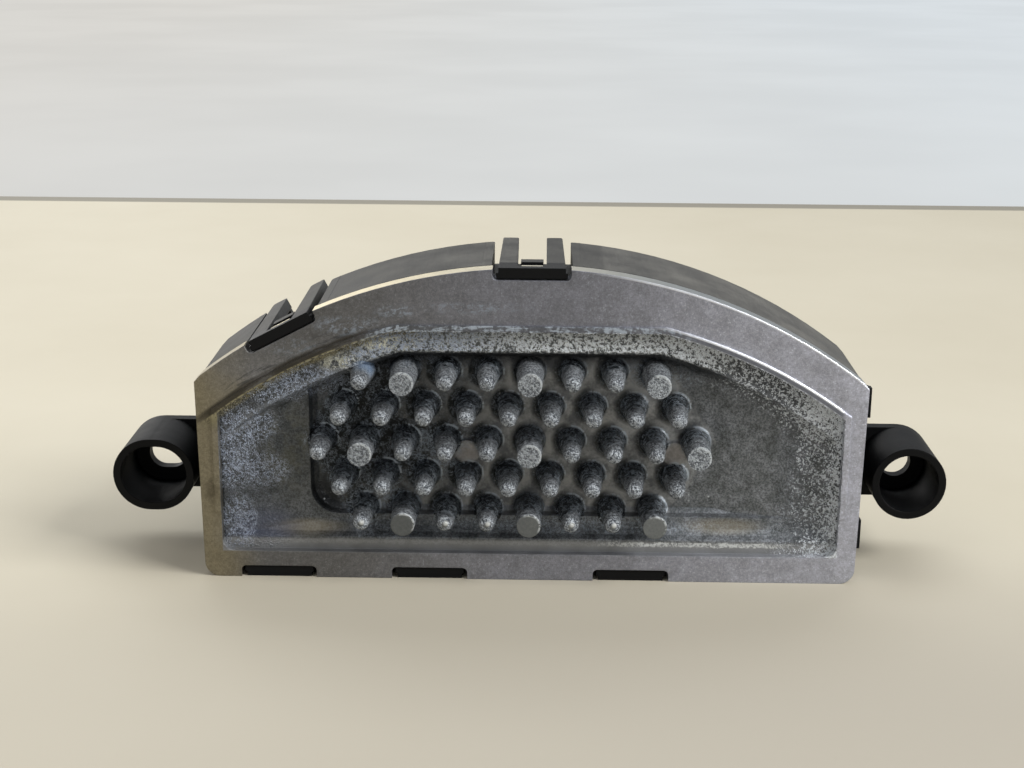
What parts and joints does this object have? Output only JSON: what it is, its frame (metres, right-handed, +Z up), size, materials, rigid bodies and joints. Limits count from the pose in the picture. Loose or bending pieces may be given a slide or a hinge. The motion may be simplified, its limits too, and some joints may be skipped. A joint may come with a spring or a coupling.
{
  "type": "blower motor resistor",
  "caption": "Blower motor resistor with a die-cast pin-fin heat sink, snap-loop plastic housing, side screw tubes and rear connector sockets.",
  "frame": {"origin": "centre of the bounding box's bottom face, on the surface that the flat long edge stands on", "axes": "+X to the right along the long flat edge as seen from the pins, +Y from the pins towards the connector sockets, +Z up towards the arched edge"},
  "size_m": [0.1242, 0.041, 0.0463],
  "materials": {
    "cast_aluminium": "satin die-cast surface with white and dark corrosion",
    "black_plastic": "fine-grained black moulding with a thin film of dust",
    "sealing_rubber": "soft matte rubber",
    "board_laminate": "green solder mask",
    "pad_silicone": "pale grey silicone sheet",
    "black_epoxy": "moulded epoxy",
    "tinned_copper": "dull tin plating",
    "spring_steel": "bare spring steel",
    "zinc_steel": "zinc plating",
    "capacitor_sleeve": "shrunk plastic sleeve",
    "ferrite": "dark sintered ferrite",
    "enamelled_copper": "enamelled copper wire",
    "resistance_alloy": "bare alloy strip",
    "chip_ceramic": "fired ceramic",
    "chip_black": "glazed black ceramic",
    "tinned_brass": "tinned brass"
  },
  "bodies": {
    "root": {"heat_sink": "cast_aluminium", "housing": "black_plastic", "seal": "sealing_rubber", "circuit_board": "board_laminate", "thermal_pads": "pad_silicone", "transistor_bodies": "black_epoxy", "transistor_tabs": "tinned_copper", "transistor_leads": "tinned_copper", "clamp_spring": "spring_steel", "clamp_screw": "zinc_steel", "board_screws": "zinc_steel", "capacitor_cans": "capacitor_sleeve", "capacitor_bungs": "sealing_rubber", "capacitor_leads": "tinned_copper", "choke_core": "ferrite", "choke_winding": "enamelled_copper", "control_chip": "black_epoxy", "chip_legs": "tinned_copper", "shunt_strip": "resistance_alloy", "ceramic_capacitors": "chip_ceramic", "chip_resistors": "chip_black", "protection_diode": "black_epoxy", "diode_terminals": "tinned_copper", "supply_blades": "tinned_brass", "motor_blades": "tinned_brass", "signal_pins": "tinned_brass"}
  },
  "joints": []
}
